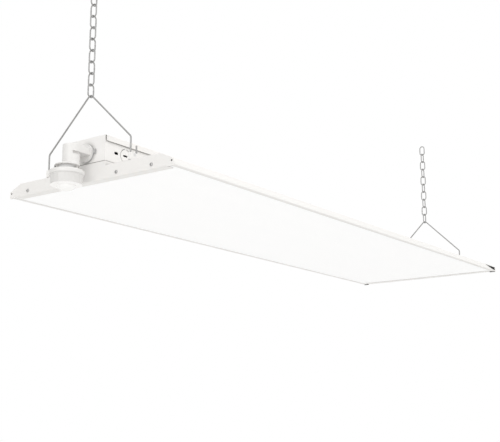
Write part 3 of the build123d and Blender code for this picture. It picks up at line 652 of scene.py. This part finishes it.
# %% [markdown]
# ## Hardware that repeats
# Screws, rivets and chain links are the same shape many times over. They could be modelled once and
# copied by hand, but a Geometry Nodes tree grows one on every point of a small point mesh, turned by a
# vector that each point carries. The result becomes one plain mesh for each moving body, because
# instances aren't exported. The helpers come first: sockets and nodes, placing, and growing.


# %% Helpers that make a tree and its nodes
def new_tree(name, sizes):
    """Tree from points to mesh, with named sizes and a finish as its inputs."""
    tree = bpy.data.node_groups.new(name, "GeometryNodeTree")
    tree.interface.new_socket("Points", in_out="INPUT", socket_type="NodeSocketGeometry")
    for label, default in sizes.items():
        socket = tree.interface.new_socket(label, in_out="INPUT", socket_type=NUMBER)
        socket.default_value = default
    tree.interface.new_socket("Finish", in_out="INPUT", socket_type="NodeSocketMaterial")
    tree.interface.new_socket("Mesh", in_out="OUTPUT", socket_type="NodeSocketGeometry")
    return tree, tree.nodes.new("NodeGroupInput"), tree.nodes.new("NodeGroupOutput")


def add(tree, kind, links=(), **values):
    """Node with its inputs set by label, from numbers or from the sockets of other nodes."""
    node = tree.nodes.new(kind)
    for label, value in values.items():
        node.inputs[label].default_value = value
    for label, source in links:
        tree.links.new(source, node.inputs[label])
    return node


def combine(tree, x, y, z):
    """Vector of three sockets or numbers."""
    node = tree.nodes.new("ShaderNodeCombineXYZ")
    for socket, value in zip(node.inputs, (x, y, z)):
        if isinstance(value, (int, float)):
            socket.default_value = value
        else:
            tree.links.new(value, socket)
    return node.outputs[0]


def scaled(tree, value, factor):
    """Socket times a number."""
    node = tree.nodes.new("ShaderNodeMath")
    node.operation = "MULTIPLY"
    node.inputs[1].default_value = factor
    tree.links.new(value, node.inputs[0])
    return node.outputs[0]


# %% Helpers that finish a tree
def close_tree(tree, group_in, group_out, shape, turn_axis):
    """Puts the shape on every point, turned so that one of its axes follows the point's vector."""
    way = tree.nodes.new("GeometryNodeInputNamedAttribute")
    way.data_type = "FLOAT_VECTOR"
    way.inputs["Name"].default_value = "outward"
    turn = tree.nodes.new("FunctionNodeAlignRotationToVector")
    turn.axis = turn_axis
    tree.links.new(way.outputs["Attribute"], turn.inputs["Vector"])
    spread = tree.nodes.new("GeometryNodeInstanceOnPoints")
    tree.links.new(group_in.outputs["Points"], spread.inputs["Points"])
    tree.links.new(shape, spread.inputs["Instance"])
    tree.links.new(turn.outputs["Rotation"], spread.inputs["Rotation"])
    real = tree.nodes.new("GeometryNodeRealizeInstances")
    tree.links.new(spread.outputs["Instances"], real.inputs["Geometry"])
    paint = tree.nodes.new("GeometryNodeSetMaterial")
    tree.links.new(real.outputs["Geometry"], paint.inputs["Geometry"])
    tree.links.new(group_in.outputs["Finish"], paint.inputs["Material"])
    tree.links.new(paint.outputs["Geometry"], group_out.inputs["Mesh"])


def soften(tree, shape, sharp_angle):
    """Smooth shading that stays crisp where faces meet at more than an angle."""
    smooth = tree.nodes.new("GeometryNodeSetShadeSmooth")
    tree.links.new(shape, smooth.inputs["Geometry"])
    angle = tree.nodes.new("GeometryNodeInputMeshEdgeAngle")
    steep = tree.nodes.new("FunctionNodeCompare")
    steep.operation = "GREATER_THAN"
    steep.inputs["B"].default_value = sharp_angle
    tree.links.new(angle.outputs["Unsigned Angle"], steep.inputs["A"])
    crisp = tree.nodes.new("GeometryNodeSetShadeSmooth")
    crisp.domain = "EDGE"
    crisp.inputs["Shade Smooth"].default_value = False
    tree.links.new(smooth.outputs["Geometry"], crisp.inputs["Geometry"])
    tree.links.new(steep.outputs["Result"], crisp.inputs["Selection"])
    return crisp.outputs["Geometry"]


# %% Helper that grows a tree into one plain mesh
def grow(name, tree, places, sizes, slot, body, replaced):
    """Grows a tree on places and vectors, makes it one plain mesh, and lets it ride on a body."""
    points = bpy.data.meshes.new(name)
    points.from_pydata([place for place, way in places], [], [])
    outward = points.attributes.new("outward", "FLOAT_VECTOR", "POINT")
    outward.data.foreach_set("vector", [part for place, way in places for part in way])
    piece = bpy.data.objects.new(name, points)
    scene.collection.objects.link(piece)
    modifier = piece.modifiers.new("grow", "NODES")
    modifier.node_group = tree
    wanted = dict(sizes, Finish=finishes[slot])
    for item in tree.interface.items_tree:
        if item.in_out == "INPUT" and item.name in wanted:
            modifier[item.identifier] = wanted[item.name]
    grown = piece.evaluated_get(bpy.context.evaluated_depsgraph_get())
    mesh = bpy.data.meshes.new_from_object(grown)
    piece.modifiers.remove(modifier)
    piece.data = mesh
    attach(piece, body)
    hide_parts(*replaced)
    print(name, "on", body, "with", len(mesh.polygons), "faces")


# %% [markdown]
# ## Screws
# The caps and the lid are held by pan-head screws with a cross recess. A turned profile with the cross
# cut by hand would do for one screw; a flattened sphere, less a block below and two bars across the top,
# gives every size from the same four numbers. The rivets start from the same dome.


# %% Helpers for a domed head with cuts in it
def link_cutter(tree, cut, cutter, level):
    """Lifts a cutter to a level and links it to a cut."""
    lift = [("Geometry", cutter.outputs["Mesh"]), ("Translation", combine(tree, 0.0, 0.0, level))]
    lifted = add(tree, "GeometryNodeTransform", lift)
    tree.links.new(lifted.outputs["Geometry"], cut.inputs["Mesh 2"])


def cut_dome(tree, radius, height):
    """Upper half of a flattened ball, as a node to which more cutters can be linked."""
    ball = add(tree, "GeometryNodeMeshUVSphere", Segments=16, Rings=10, Radius=1.0)
    dome_size = combine(tree, radius, radius, height)
    dome = add(tree, "GeometryNodeTransform", [("Geometry", ball.outputs["Mesh"]), ("Scale", dome_size)])
    # The block takes away the lower half: it is wider than the ball, and its top lies at the middle
    wide = scaled(tree, radius, 3.0)
    block_size = combine(tree, wide, wide, scaled(tree, height, 4.0))
    block = add(tree, "GeometryNodeMeshCube", [("Size", block_size)])
    cut = tree.nodes.new("GeometryNodeMeshBoolean")
    cut.operation = "DIFFERENCE"
    cut.solver = "EXACT"
    tree.links.new(dome.outputs["Geometry"], cut.inputs["Mesh 1"])
    link_cutter(tree, cut, block, scaled(tree, height, -2.0))
    return cut


# %% Tree for a cross-recess screw head
# In radians: an edge whose faces turn more than this stays crisp
head_crisp_angle = 0.7
bar_to_radius = 1.15
cross_screw, screw_in, screw_out = new_tree(
    "cross_screw",
    {"Head Radius": 3.0 * mm, "Head Height": 2.0 * mm, "Bar Width": 0.9 * mm, "Bar Depth": 1.1 * mm},
)
radius, height = screw_in.outputs["Head Radius"], screw_in.outputs["Head Height"]
cut = cut_dome(cross_screw, radius, height)
bar_length = scaled(cross_screw, radius, bar_to_radius)
# The bars are centred on the top of the head, so they are twice as tall as they cut
bar_height = scaled(cross_screw, screw_in.outputs["Bar Depth"], 2.0)
bar_width = screw_in.outputs["Bar Width"]
for length, width in ((bar_length, bar_width), (bar_width, bar_length)):
    bar_size = combine(cross_screw, length, width, bar_height)
    link_cutter(cross_screw, cut, add(cross_screw, "GeometryNodeMeshCube", [("Size", bar_size)]), height)
screw_head = soften(cross_screw, cut.outputs["Mesh"], head_crisp_angle)
close_tree(cross_screw, screw_in, screw_out, screw_head, "Z")
print("screw tree nodes:", len(cross_screw.nodes))

# %% Screws in the end caps
cap_screw_low, cap_screw_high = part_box("end_cap_screws")
cap_head_radius = 3.0 * mm
cap_head_height = 2.0 * mm
cap_screw_inner = 64.0 * mm
cap_screw_outer = cap_screw_high[1] - cap_head_radius
cap_screw_level = (cap_screw_low[2] + cap_screw_high[2]) / 2
cap_places = [
    ((way * (cap_screw_high[0] - cap_head_height), side * across, cap_screw_level), (way, 0.0, 0.0))
    for way in (-1, 1)
    for across in (cap_screw_inner, cap_screw_outer)
    for side in (-1, 1)
]
cap_sizes = {"Head Radius": cap_head_radius, "Head Height": cap_head_height}
grow("cap_screws", cross_screw, cap_places, cap_sizes, "cap_screw_steel", "fixture", ["end_cap_screws"])

# %% Screws in the lid
up = (0.0, 0.0, 1.0)
lid_screw_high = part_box("lid_screws")[1]
lid_head_radius = 3.8 * mm
lid_head_height = 2.3 * mm
lid_screw_end = lid_screw_high[0] - lid_head_radius
lid_screw_side = lid_screw_high[1] - lid_head_radius
lid_screw_level = lid_screw_high[2] - lid_head_height
lid_places = [
    ((x, side * lid_screw_side, lid_screw_level), up)
    for x in (-lid_screw_end, 0.0, lid_screw_end)
    for side in (-1, 1)
]
lid_sizes = {
    "Head Radius": lid_head_radius,
    "Head Height": lid_head_height,
    "Bar Width": 1.1 * mm,
    "Bar Depth": 1.4 * mm,
}
grow("lid_screw_heads", cross_screw, lid_places, lid_sizes, "inner_screw_steel", "fixture", ["lid_screws"])

# %% [markdown]
# ## Rivets
# The rails and the clevises are riveted to the pan, and the channel to the rails. A blind rivet has a low
# dome with a small hole left by its mandrel. A plain dome would look like a nail, so the tree drills one.

# %% Tree for a blind rivet head
blind_rivet, rivet_in, rivet_out = new_tree(
    "blind_rivet",
    {"Head Radius": 3.0 * mm, "Head Height": 1.0 * mm, "Hole Radius": 0.9 * mm, "Hole Depth": 0.7 * mm},
)
rivet_height = rivet_in.outputs["Head Height"]
cut = cut_dome(blind_rivet, rivet_in.outputs["Head Radius"], rivet_height)
# The drill is centred on the top of the head too
drill_sizes = [
    ("Radius", rivet_in.outputs["Hole Radius"]),
    ("Depth", scaled(blind_rivet, rivet_in.outputs["Hole Depth"], 2.0)),
]
drill = add(blind_rivet, "GeometryNodeMeshCylinder", drill_sizes, Vertices=10)
link_cutter(blind_rivet, cut, drill, rivet_height)
rivet_head = soften(blind_rivet, cut.outputs["Mesh"], head_crisp_angle)
close_tree(blind_rivet, rivet_in, rivet_out, rivet_head, "Z")
print("rivet tree nodes:", len(blind_rivet.nodes))

# %% Rivets on the pan's back and in the channel's floor
half_foot = 6.0 * mm
rail_gauge, channel_gauge, clevis_gauge = 0.8 * mm, 0.8 * mm, 1.2 * mm
rail_stations = (-500, -300, -100, 100, 300, 500)
channel_stations = (-430, -90, 90, 430)
clevis_rivet_setback = 22.2 * mm
pan_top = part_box("housing_pan")[1][2]
rail_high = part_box("left_rail")[1]
rail_foot_middle = rail_high[1] - half_foot
rail_foot_top = pan_top + rail_gauge
rail_shelf_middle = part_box("left_rail")[0][1] + half_foot
channel_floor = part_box("driver_channel")[0][2] + channel_gauge
clevis_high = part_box("hook_clevises")[1]
clevis_middle = clevis_high[1] - half_foot
clevis_rivet_x = clevis_high[0] - clevis_rivet_setback
clevis_floor = pan_top + clevis_gauge
rivet_places = [
    ((x * mm, side * rail_foot_middle, rail_foot_top), up) for x in rail_stations for side in (-1, 1)
]
rivet_places += [
    ((x * mm, side * rail_shelf_middle, channel_floor), up) for x in channel_stations for side in (-1, 1)
]
rivet_places += [
    ((end * clevis_rivet_x, side * clevis_middle, clevis_floor), up) for end in (-1, 1) for side in (-1, 1)
]
grow("pan_rivets", blind_rivet, rivet_places, {}, "rivet_steel", "fixture", ["top_rivets"])

# %% [markdown]
# ## Chains
# A chain link is a wire bent to an oval and butt-welded on one straight side, where a small bead stays.
# A ring stretched to an oval would have a flattened wire. So a circle is pulled apart along its height, a
# smaller circle is swept along it, and a small ball makes the bead. Every second link has a quarter turn.

# %% Tree for a welded chain link: the oval
welded_link, link_in, link_out = new_tree(
    "welded_link",
    {
        "Wire Radius": 1.2 * mm,
        "Turn Radius": 6.05 * mm,
        "Half Straight": 5.1 * mm,
        "Bead Radius": 1.42 * mm,
        "Bead Half Length": 1.5 * mm,
    },
)
turn_radius = link_in.outputs["Turn Radius"]
ring = add(welded_link, "GeometryNodeCurvePrimitiveCircle", [("Radius", turn_radius)], Resolution=32)
flat_ring = [("Geometry", ring.outputs["Curve"])]
upright_ring = add(welded_link, "GeometryNodeTransform", flat_ring, Rotation=(pi / 2, 0.0, 0.0))
where = welded_link.nodes.new("GeometryNodeInputPosition")
where_parts = add(welded_link, "ShaderNodeSeparateXYZ", [("Vector", where.outputs[0])])
half = welded_link.nodes.new("ShaderNodeMath")
half.operation = "SIGN"
welded_link.links.new(where_parts.outputs["Z"], half.inputs[0])
pull = welded_link.nodes.new("ShaderNodeMath")
pull.operation = "MULTIPLY"
welded_link.links.new(half.outputs[0], pull.inputs[0])
welded_link.links.new(link_in.outputs["Half Straight"], pull.inputs[1])
oval = add(
    welded_link,
    "GeometryNodeSetPosition",
    [
        ("Geometry", upright_ring.outputs["Geometry"]),
        ("Offset", combine(welded_link, 0.0, 0.0, pull.outputs[0])),
    ],
)
print("link tree nodes with the oval:", len(welded_link.nodes))

# %% Tree for a welded chain link: the wire and its bead
wire_radius = link_in.outputs["Wire Radius"]
wire = add(welded_link, "GeometryNodeCurvePrimitiveCircle", [("Radius", wire_radius)], Resolution=12)
tube = add(
    welded_link,
    "GeometryNodeCurveToMesh",
    [("Curve", oval.outputs["Geometry"]), ("Profile Curve", wire.outputs["Curve"])],
)
ball = add(welded_link, "GeometryNodeMeshUVSphere", Segments=12, Rings=8, Radius=1.0)
bead_radius = link_in.outputs["Bead Radius"]
bead = add(
    welded_link,
    "GeometryNodeTransform",
    [
        ("Geometry", ball.outputs["Mesh"]),
        ("Scale", combine(welded_link, bead_radius, bead_radius, link_in.outputs["Bead Half Length"])),
        ("Translation", combine(welded_link, turn_radius, 0.0, 0.0)),
    ],
)
print("link tree nodes with wire and bead:", len(welded_link.nodes))

# %% Tree for a welded chain link: one link on every point
wire_crisp_angle = 1.2
both = welded_link.nodes.new("GeometryNodeJoinGeometry")
welded_link.links.new(bead.outputs["Geometry"], both.inputs["Geometry"])
welded_link.links.new(tube.outputs["Mesh"], both.inputs["Geometry"])
link_shape = soften(welded_link, both.outputs["Geometry"], wire_crisp_angle)
close_tree(welded_link, link_in, link_out, link_shape, "X")
print("link tree nodes in all:", len(welded_link.nodes))


# %% Links of each moving length of chain
def link_place(node):
    """Middle of a CAD link, with the direction of its width."""
    low, high = (Vector(corner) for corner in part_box(node))
    size = high - low
    return tuple((low + high) / 2), ((1.0, 0.0, 0.0) if size.x > size.y else (0.0, 1.0, 0.0))


for body, members in frame["record"]["behaviour"]["bodies"].items():
    links = [node for node in members if "chain_link" in node]
    if links:
        places = [link_place(node) for node in links]
        grow(f"{body}_welded", welded_link, places, {}, "chain_zinc", body, links)
